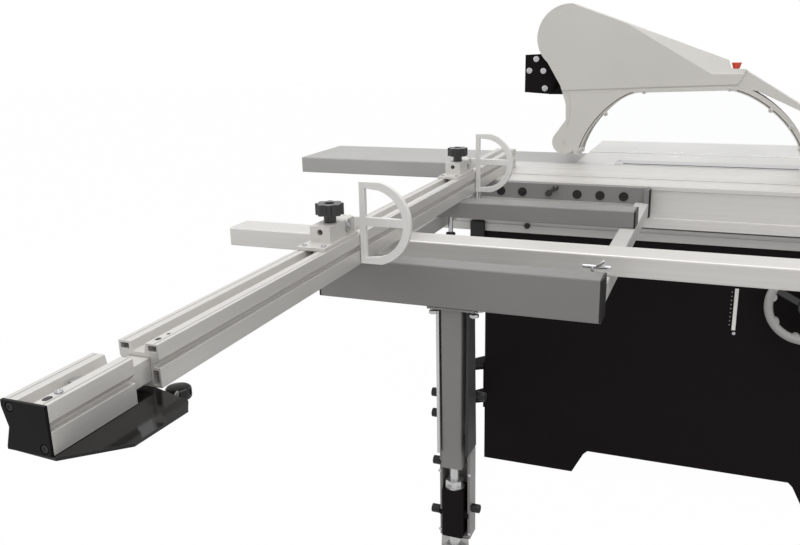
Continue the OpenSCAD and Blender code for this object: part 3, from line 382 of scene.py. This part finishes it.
# The piece as made, with the broken edges that deburring and moulding leave; reshape moves its corners
def eased(node, width, segments=2, angle=0.5, reshape=None):
    mesh = nodes[node].data.copy()
    o = bpy.data.objects.new(node + "_eased", mesh)
    bpy.context.scene.collection.objects.link(o)
    only(o)
    bpy.ops.object.mode_set(mode="EDIT")
    bpy.ops.mesh.select_all(action="SELECT")
    bpy.ops.mesh.remove_doubles(threshold=0.00002)
    if reshape:
        bpy.ops.object.mode_set(mode="OBJECT")
        for v in mesh.vertices:
            v.co = at(*reshape(*told(v.co)))
        bpy.ops.object.mode_set(mode="EDIT")
        bpy.ops.mesh.select_all(action="SELECT")
    bpy.ops.mesh.dissolve_limited(angle_limit=0.015)
    bpy.ops.object.mode_set(mode="OBJECT")
    break_edges(o, width, segments, angle)
    smooth(o, 0.7)
    w = o.modifiers.new("flat", "WEIGHTED_NORMAL")
    w.keep_sharp = True
    apply_all(o)
    fit_out(o, finish_for(node), node_body[node])
    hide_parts(node)
    return o


# Part of an eased piece, told by its faces' middles, in a finish of its own
def split_off(o, node, name, inside, finish):
    only(o)
    pick(o, lambda f: inside(f.center))
    bpy.ops.mesh.separate(type="SELECTED")
    bpy.ops.object.mode_set(mode="OBJECT")
    other = [k for k in bpy.context.selected_objects if k != o][0]
    other.name = name
    fit_out(other, finish, node_body[node])


# Corners moved on the copies; all in millimetres
CARRIAGE_RECESS_X, CARRIAGE_SIDE_X = -370, -374
FLAG_Y, FLAG_Z = 501, 967
BOW_DEEP, BOW_HALF, BOW_RIM, BOW_MORE = 98, 75, 11, 3.5
BOW_R = (BOW_HALF ** 2 + BOW_DEEP ** 2) / (2 * BOW_DEEP)
ROOF_Y, ROOF_Z, ROOF_SLOPE, ROOF_END_Y = 213, 1311, 0.375, 360
SHELL_INSIDE_X, SHELL_T = 40.5, 5
POST_X, POST_Y = -1261, 340
PLATE_TOP_Z, PLATE_L = 800, 315
WHEEL_Y, WHEEL_Z, HUB_R = -324, 605, 72


# The carriage's side between lip and ledge is one plane
def flat_side(x, y, z):
    return (CARRIAGE_SIDE_X, y, z) if abs(x - CARRIAGE_RECESS_X) < 0.6 else (x, y, z)


# The flags' bow is broader on its inner side
def broad_bow(x, y, z):
    c = FLAG_Y - BOW_DEEP + BOW_R
    d = math.hypot(y - c, z - FLAG_Z)
    if abs(d - (BOW_R - BOW_RIM)) < 0.8 and y < 488:
        return x, c + (y - c) * (d - BOW_MORE) / d, FLAG_Z + (z - FLAG_Z) * (d - BOW_MORE) / d
    return x, y, z


# The guard's roof runs straight into its round rear end
def low_roof(x, y, z):
    top = ROOF_Z + (y - ROOF_Y) * ROOF_SLOPE
    if y > ROOF_END_Y or z < top:
        return x, y, z
    return x, y, top if abs(x) > SHELL_INSIDE_X else top - SHELL_T


# The post's flange is thin, and narrower at its ends
def thin_flange(x, y, z):
    if 802 < z < 810.5:
        z = min(z + 4.5, 810)
    if abs(y - POST_Y) > 45:
        return POST_X + (24 if x > POST_X else -24), POST_Y + (y - POST_Y) * 0.87, z
    return x, y, z


# The side plates lie against the post, the north one closer at its lower end
def close_plates(x, y, z):
    low = (PLATE_TOP_Z - z) / PLATE_L
    return x, y - 11.5 - 4.5 * low if y > POST_Y else y + 7, z


# The end bracket is shallower and narrower
def shallow_bracket(x, y, z):
    if x < -1280:
        x = -1268
    return x, 337.5 + (y - POST_Y) * 0.85, z


def on_south_plate(c):
    return c.y < at(0, POST_Y, 0).y


def on_hub(c):
    return math.hypot(c.y - at(0, WHEEL_Y, 0).y, c.z - WHEEL_Z / MM) < HUB_R / MM


eased("cabinet", 3.0)
eased("main_table", 1.5)
eased("rear_table", 1.2)
eased("carriage", 0.8, reshape=flat_side)
eased("base_rail", 0.8)
eased("rail_saddles", 7.0, 3)
eased("hook_channel", 1.0)
eased("outer_beam", 0.8)
eased("inner_beam", 0.8)
eased("beam_caps", 1.2)
eased("support_beam", 0.8)
eased("crosscut_fence", 0.6)
eased("fence_extension", 0.6)
eased("extension_cap", 0.8)
eased("extension_plate", 1.0)
for k in ("1", "2"):
    eased("stop_block_" + k, 1.2)
    eased("stop_flag_" + k, 2.0, 3, reshape=broad_bow)
    eased("stop_knob_" + k, 2.2, 3)
eased("guard_shell", 2.5, 3, reshape=low_roof)
eased("guard_bracket", 1.2)
eased("post", 0.8, reshape=thin_flange)
plates = eased("post_plates", 0.8, reshape=close_plates)
# The south plate is split off and given the dark grey: painted shade
split_off(plates, "post_plates", "south_plate", on_south_plate, plate_painted_shade)
eased("end_bracket", 0.8, reshape=shallow_bracket)
eased("anchor_block", 2.0)
eased("arm_bracket", 1.0)
eased("swing_arm", 2.0)
eased("switch_box", 2.0)
eased("rip_head", 1.5)
eased("rip_plate", 0.8)
wheel = eased("height_wheel", 1.0)
split_off(wheel, "height_wheel", "wheel_hub", on_hub, knob_black)


# Small hardware is modelled once, standing on the floor plane, and copied to its places

def turn_to(direction):
    return Vector((0, 0, 1)).rotation_difference(Vector(direction)).to_matrix().to_4x4()


def copies(master, name, places, direction, body, finish):
    for i, p in enumerate(places):
        mesh = master.data.copy()
        mesh.transform(Matrix.Translation(p) @ turn_to(direction))
        o = bpy.data.objects.new("%s_%d" % (name, i + 1), mesh)
        bpy.context.scene.collection.objects.link(o)
        fit_out(o, finish, body)


# A head with a rim, the rim's width as a share of the radius, and a drive sunk inside it
def headed(radius, height, sides, rim, sunk, edge):
    r, h = radius / MM, height / MM
    bpy.ops.object.select_all(action="DESELECT")
    bpy.ops.mesh.primitive_cylinder_add(vertices=sides, radius=r, depth=h, location=(0, 0, h / 2))
    o = bpy.context.active_object
    bpy.ops.object.transform_apply(location=True, rotation=True, scale=True)
    only(o)
    pick(o, lambda f: f.normal.z > 0.9 and abs(f.center.z - h) < 1e-5)
    bpy.ops.mesh.inset(thickness=r * rim)
    if sunk:
        bpy.ops.mesh.extrude_region_move(TRANSFORM_OT_translate={"value": (0, 0, -sunk / MM)})
    bpy.ops.object.mode_set(mode="OBJECT")
    break_edges(o, edge, 2)
    smooth(o)
    return o


# A round bead laid along a row of points
def bead(name, points, radius, body, finish):
    bpy.ops.object.select_all(action="DESELECT")
    bpy.ops.curve.primitive_nurbs_path_add()
    o = bpy.context.active_object
    o.name = name
    o.data.splines.clear()
    line = o.data.splines.new("POLY")
    line.points.add(len(points) - 1)
    for place, p in zip(line.points, points):
        place.co = (*p, 1.0)
    o.data.bevel_depth = radius / MM
    o.data.bevel_resolution = 2
    o.data.use_fill_caps = True
    bpy.ops.object.convert(target="MESH")
    smooth(o)
    fit_out(o, finish, body)


# A flat strip with broken edges, and a sunk panel on the side that faces out where sink is given
def strip(name, low, high, out, edge, sink, body, slot_name, finish):
    low, high = at(*low), at(*high)
    bpy.ops.object.select_all(action="DESELECT")
    bpy.ops.mesh.primitive_cube_add(size=1, location=(low + high) / 2, scale=high - low)
    o = bpy.context.active_object
    o.name = name
    bpy.ops.object.transform_apply(location=True, rotation=True, scale=True)
    if sink:
        pick(o, lambda f: f.normal.dot(Vector(out)) > 0.9)
        bpy.ops.mesh.inset(thickness=edge * 2.5 / MM)
        inward = tuple(-sink / MM * v for v in out)
        bpy.ops.mesh.extrude_region_move(TRANSFORM_OT_translate={"value": inward})
        bpy.ops.object.mode_set(mode="OBJECT")
    break_edges(o, edge, 2)
    smooth(o)
    fit_out(o, finish, body)


# A turned bar from one place to another, with broken ends
def turned(name, a, b, radius, edge, body, slot_name, finish):
    a, b = at(*a), at(*b)
    bpy.ops.object.select_all(action="DESELECT")
    bpy.ops.mesh.primitive_cylinder_add(vertices=32, radius=radius / MM, depth=(b - a).length)
    o = bpy.context.active_object
    o.name = name
    break_edges(o, edge, 3)
    smooth(o)
    o.data.transform(Matrix.Translation((a + b) / 2) @ turn_to(b - a))
    fit_out(o, finish, body)
    return o


# A milled slot seen from above, drawn as a thin black patch with round ends: painted shade standing in for the
# slot's hollow
def slot_shade_patch(name, x, y, length, width, body):
    bpy.ops.object.select_all(action="DESELECT")
    r = width / (2 * MM)
    bpy.ops.mesh.primitive_cylinder_add(vertices=24, radius=r, depth=0.0002, location=(0, 0, 0.0001))
    o = bpy.context.active_object
    o.name = name
    bpy.ops.object.transform_apply(location=True, rotation=True, scale=True)
    half = (length - width) / (2 * MM)
    for v in o.data.vertices:
        v.co.x += half if v.co.x > 0 else -half
    o.data.transform(Matrix.Translation(at(x, y, FENCE_TOP)))
    bpy.ops.object.mode_set(mode="EDIT")
    bpy.ops.mesh.select_all(action="SELECT")
    bpy.ops.mesh.normals_make_consistent(inside=False)
    bpy.ops.object.mode_set(mode="OBJECT")
    smooth(o)
    fit_out(o, black, body)


# A place on the window's arch, d outside its edge: the rear quarter or the front one
ARCH_QUARTERS = ((156, 169, 189, 1), (-90, 210, 196, -1))
ARCH_Z, ARCH_POWER = 920, 2 / 1.55


def on_arch(quarter, angle, d):
    c, a, b, k = ARCH_QUARTERS[quarter]
    u = math.radians(angle)
    return c + k * (a + d) * math.cos(u) ** ARCH_POWER, ARCH_Z + (b + d) * math.sin(u) ** ARCH_POWER


plug = headed(12.2, 2.6, 32, 0.4, 1.0, 0.8)
hex_head = headed(9.0, 6.0, 6, 0.2, 0.0, 0.8)
washer = headed(12.0, 1.6, 28, 0.3, 0.0, 0.4)
round_head = headed(9.5, 4.0, 24, 0.35, 0.0, 1.6)
boss = headed(7.0, 3.0, 20, 0.3, 0.0, 0.8)
dome_screw = headed(4.6, 2.2, 20, 0.5, 1.0, 0.7)
rivet = headed(3.4, 1.4, 16, 0.3, 0.0, 0.6)
dot = headed(1.8, 0.6, 12, 0.3, 0.0, 0.2)
post_head = headed(8.5, 17.0, 24, 0.35, 3.0, 1.2)
WEST, EAST, SOUTH, NORTH, UP, DOWN = (-1, 0, 0), (1, 0, 0), (0, -1, 0), (0, 1, 0), (0, 0, 1), (0, 0, -1)
CHANNEL_X, CABINET_X, FENCE_TOP = -400, -357, 946

# Hook channel and outrigger
plug_places = [at(CHANNEL_X, y, 863) for y in (145, 207, 268, 419, 480)]
copies(plug, "channel_plug", plug_places, WEST, "carriage", black)
flange_places = [at(x, y, 803) for x in (-1277, -1245) for y in (297, 375)]
copies(hex_head, "flange_bolt", flange_places, DOWN, "carriage", plated)

# Post: bolts through the side plates and the end bracket, and the bracket's rivets
north_places = [at(POST_X, y, z) for y, z in ((367.5, 632), (367.5, 589), (366, 488), (370, 380))]
copies(post_head, "post_bolt_north", north_places, NORTH, "carriage", black)
south_places = [at(POST_X, y, z) for y, z in ((296, 636), (305.5, 396))]
copies(post_head, "post_bolt_south", south_places, SOUTH, "carriage", black)
rivet_places = [at(-1268, y, z) for y in (308, 368) for z in (340, 470)]
copies(rivet, "bracket_rivet", rivet_places, WEST, "carriage", plated)

# Guard: bracket bolts, rim bosses with their screws, and the foot's screw
bolt_places = [at(-8, y, z) for y, z in ((475, 1207), (496, 1172), (452, 1171), (446, 1118))]
copies(round_head, "bracket_bolt", bolt_places, WEST, "base", plated)
rim_places = ((142, 1112), (251, 1046), (316, 936), (-94, 1120), (-206, 1062), (-264, 1017), (-292, 954))
far_places = [on_arch(0, a, 7) for a in (20, 50, 75)] + [on_arch(1, a, 7) for a in (20, 35, 55, 75)]
for x, way, k, places in ((-47.5, WEST, "left", rim_places), (47.5, EAST, "right", far_places)):
    copies(boss, "rim_boss_" + k, [at(x, y, z) for y, z in places], way, "guard", guard_grey)
    copies(rivet, "rim_screw_" + k, [at(x * 1.063, y, z) for y, z in places], way, "guard", plated)
    copies(dome_screw, "foot_screw_" + k, [at(x * 0.947, 375, 957)], way, "guard", guard_grey)

# The seal of the clear window, laid in the arch's rim
for x, k in ((-47.6, "left"), (47.6, "right")):
    for quarter, where in ((0, "rear"), (1, "front")):
        run = [at(x, *on_arch(quarter, a, 5)) for a in range(10, 81, 5)]
        bead("window_seal_%s_%s" % (where, k), run, 1.5, "guard", seal_grey)

# The rib along the rear edge of the guard's leg
rib_places = ((369, 1112), (364, 1098), (361, 1084), (360, 1068), (361, 1052), (364, 1030), (367, 1010))
for x, k in ((-42.6, "left"), (42.6, "right")):
    bead("leg_rib_" + k, [at(x, y, z) for y, z in rib_places], 1.8, "guard", guard_grey)

# Flip stops: a plated collar on the side of each block and screws in its foot
for k, s in (("outer", 1309), ("inner", 577)):
    stop = k + "_stop"
    copies(washer, stop + "_collar", [at(-s - 32, 512, 968)], SOUTH, stop, plated)
    copies(dome_screw, stop + "_screw", [at(-s - 32, 510.5, 968)], SOUTH, stop, plated)
    foot_places = [at(-s - 128, y, 952) for y in (513, 549)]
    copies(dome_screw, k + "_foot_screw", foot_places, UP, stop, plated)

# Fence extension: the end cap's screws, the end plate's screws and the clamp bolt in its track
cap_places = [at(-2075.5, 549, 939), at(-2075.5, 510, 898)]
copies(dome_screw, "cap_screw", cap_places, WEST, "extension", black)
plate_places = [at(x, 531, 885.7) for x in (-2040, -1975)]
copies(dome_screw, "plate_screw", plate_places, DOWN, "extension", plated)
copies(hex_head, "track_bolt", [at(-2000, 531, 934)], UP, "extension", plated)

# The extension's clamp lever with its round grip, under the end plate
clamp = ("extension_clamp", "black_plastic", gloss_black)
grip = turned("clamp_grip", (-1862, 507, 877), (-1862, 507, 861), 16.5, 4.0, *clamp)
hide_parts("extension_handle")
turned("clamp_arm", (-1924, 470, 879), (-1862, 507, 871), 4.5, 1.5, *clamp)
turned("clamp_hub", (-1924, 470, 885.5), (-1924, 470, 873), 9.0, 1.5, *clamp)

# The frame lever: stem, cross bar above the beam's top, and a short wing
lever = ("frame_lever", "bright", plated)
stem = turned("lever_stem", (-1222, 98, 849.5), (-1222, 98, 895), 4.0, 0.8, *lever)
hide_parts("wing_lever")
turned("lever_bar", (-1222, 66, 894.2), (-1222, 116, 894.2), 3.6, 1.2, *lever)
turned("lever_wing", (-1222, 92, 894.2), (-1227, 77, 907), 3.2, 1.0, *lever)

# Rods under the fence with their black feet; the outer one goes through the inner beam
rod = turned("fence_rod_outer", (-690, 534, 805), (-690, 534, 890), 6.0, 0.8, "carriage", "bright", plated)
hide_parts("fence_clamps")
turned("fence_rod_inner", (-505, 514, 812), (-505, 514, 890), 6.0, 0.8, "carriage", "bright", plated)
for k, x, y, z in (("outer", -690, 534, 797), ("inner", -505, 514, 804)):
    turned("rod_foot_" + k, (x, y, z + 8.5), (x, y, z), 12.0, 1.5, "carriage", "black_plastic", black)

# Fine mid-grey lines along the fence's two rails, painted shade along the rail edges, and the slots and the
# screw in their tops
for k, x0, x1, body in (("fence", -1897, -146, "carriage"), ("head", -2073, -1944, "extension")):
    for side, y in (("south", 507), ("north", 552)):
        low, high = (x0, y, FENCE_TOP - 0.4), (x1, y + 1.2, FENCE_TOP + 0.12)
        strip("%s_line_%s" % (k, side), low, high, UP, 0.1, 0, body, "alloy", rail_shade_and_dot_grey)
# The fence's slot and hole and the head's slot are black patches: painted shade
slot_shade_patch("fence_slot", -1881, 514, 9, 6, "carriage")
slot_shade_patch("fence_hole", -1862, 513, 5, 4, "carriage")
slot_shade_patch("head_slot", -2061, 514, 12, 8, "extension")
copies(dome_screw, "head_screw", [at(-2045, 514, FENCE_TOP)], UP, "extension", plated)

# Cabinet side: the height scale with its marks and end, and a bolt on the base rail
strip("height_scale", (CABINET_X - 2, -161, 505), (CABINET_X, -151.5, 622), WEST, 0.3, 0.3,
      "base", "pale_paint", finish_of["silver"])
dot_places = [at(CABINET_X, -145, 519 + i * 11.5) for i in range(9)]
copies(dot, "scale_dot", dot_places, WEST, "base", rail_shade_and_dot_grey)
copies(hex_head, "rail_bolt", [at(CABINET_X, 413, 757)], WEST, "base", black)
copies(dome_screw, "scale_end", [at(CABINET_X, -158, 496)], WEST, "base", plated)

# The guard bracket's lower corner, behind the leg
strip("bracket_corner", (-8, 384, 1100), (-0.6, 432, 1158), WEST, 0.6, 0,
      "base", "black_paint", finish_of["black_paint"])

# Rubber pads behind the channel's end brackets
pad = (0.8, 0.6, "carriage", "black_plastic", black)
strip("bracket_pad_front", (-398, 76.4, 809), (-379, 80, 884), SOUTH, *pad)
strip("bracket_pad_rear", (-398, 596, 809), (-379, 599.6, 884), NORTH, *pad)

for o in (plug, hex_head, washer, round_head, boss, dome_screw, rivet, dot, post_head):
    bpy.data.objects.remove(o)


# White floor and surroundings: bright where the camera or a reflection sees them, plain for the light

def either(t, a, b):
    n = t.nodes.new("ShaderNodeMath")
    n.operation = "MAXIMUM"
    t.links.new(a, n.inputs[0])
    t.links.new(b, n.inputs[1])
    return n.outputs[0]


def blend(t, share, a, b, output):
    n = t.nodes.new("ShaderNodeMixShader")
    t.links.new(share, n.inputs[0])
    t.links.new(a.outputs[0], n.inputs[1])
    t.links.new(b.outputs[0], n.inputs[2])
    t.links.new(n.outputs[0], t.nodes[output].inputs["Surface"])


FLOOR_SEEN = 0.99
bpy.ops.object.select_all(action="DESELECT")
bpy.ops.mesh.primitive_plane_add(size=40, location=(0, 0, 0))
floor = bpy.context.active_object
floor.name = "floor"
m, t, b = start("white_floor")
b.inputs["Base Color"].default_value = (0.7, 0.7, 0.7, 1)
b.inputs["Roughness"].default_value = 0.9
glow = t.nodes.new("ShaderNodeEmission")
glow.inputs["Strength"].default_value = 1.0
path = t.nodes.new("ShaderNodeLightPath")
part = t.nodes.new("ShaderNodeMath")
part.operation = "MULTIPLY"
part.inputs[1].default_value = FLOOR_SEEN
t.links.new(either(t, path.outputs["Is Camera Ray"], path.outputs["Is Glossy Ray"]), part.inputs[0])
blend(t, part.outputs[0], b, glow, "Material Output")
coat_with(floor, m)
floor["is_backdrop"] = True

world = bpy.data.worlds.new("studio")
bpy.context.scene.world = world
world.use_nodes = True
t = world.node_tree
dim = t.nodes["Background"]
dim.inputs["Color"].default_value = (1, 1, 1, 1)
dim.inputs["Strength"].default_value = 0.35
white = t.nodes.new("ShaderNodeBackground")
white.inputs["Color"].default_value = (1, 1, 1, 1)
white.inputs["Strength"].default_value = 1.0
path = t.nodes.new("ShaderNodeLightPath")
seen = either(t, path.outputs["Is Camera Ray"], path.outputs["Is Transmission Ray"])
blend(t, either(t, seen, path.outputs["Is Glossy Ray"]), dim, white, "World Output")


# Lamps, in metres and watts
def soft_box(name, place, aim, size, watts):
    lamp = bpy.data.lights.new(name, "AREA")
    lamp.shape = "RECTANGLE"
    lamp.size = size[0]
    lamp.size_y = size[1]
    lamp.energy = watts
    o = bpy.data.objects.new(name, lamp)
    bpy.context.scene.collection.objects.link(o)
    o.location = place
    o.rotation_euler = (Vector(aim) - Vector(place)).to_track_quat("-Z", "Y").to_euler()


soft_box("overhead", (-0.4, 0.2, 4.2), (0, 0, 0.6), (4.5, 4.0), 122)
soft_box("left_front", (-4.2, -2.4, 2.6), (0, 0, 0.7), (3.0, 2.2), 28)
soft_box("left_rear", (-3.2, 3.4, 2.4), (0, 0.2, 0.7), (2.6, 2.0), 26)

# The photograph's camera: focal length in pixels over the picture's width, place and line of sight
SENSOR_W, FOCAL_PX, PICTURE_W = 36.0, 833.2, 800
lens = bpy.data.cameras.new("camera")
lens.sensor_fit = "HORIZONTAL"
lens.sensor_width = SENSOR_W
lens.lens = FOCAL_PX * SENSOR_W / PICTURE_W
lens.clip_end = 60
camera = bpy.data.objects.new("camera", lens)
bpy.context.scene.collection.objects.link(camera)
right = Vector((0.3659, -0.9304, -0.0212))
ahead = Vector((0.8921, 0.3572, -0.2766)).normalized()
right = (right - ahead * right.dot(ahead)).normalized()
up = right.cross(ahead)
spin = Matrix((right, up, -ahead)).transposed().to_4x4()
camera.matrix_world = Matrix.Translation(at(-2650, -110, 1295)) @ spin
bpy.context.scene.camera = camera
bpy.context.scene.view_settings.view_transform = "Standard"

low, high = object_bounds()
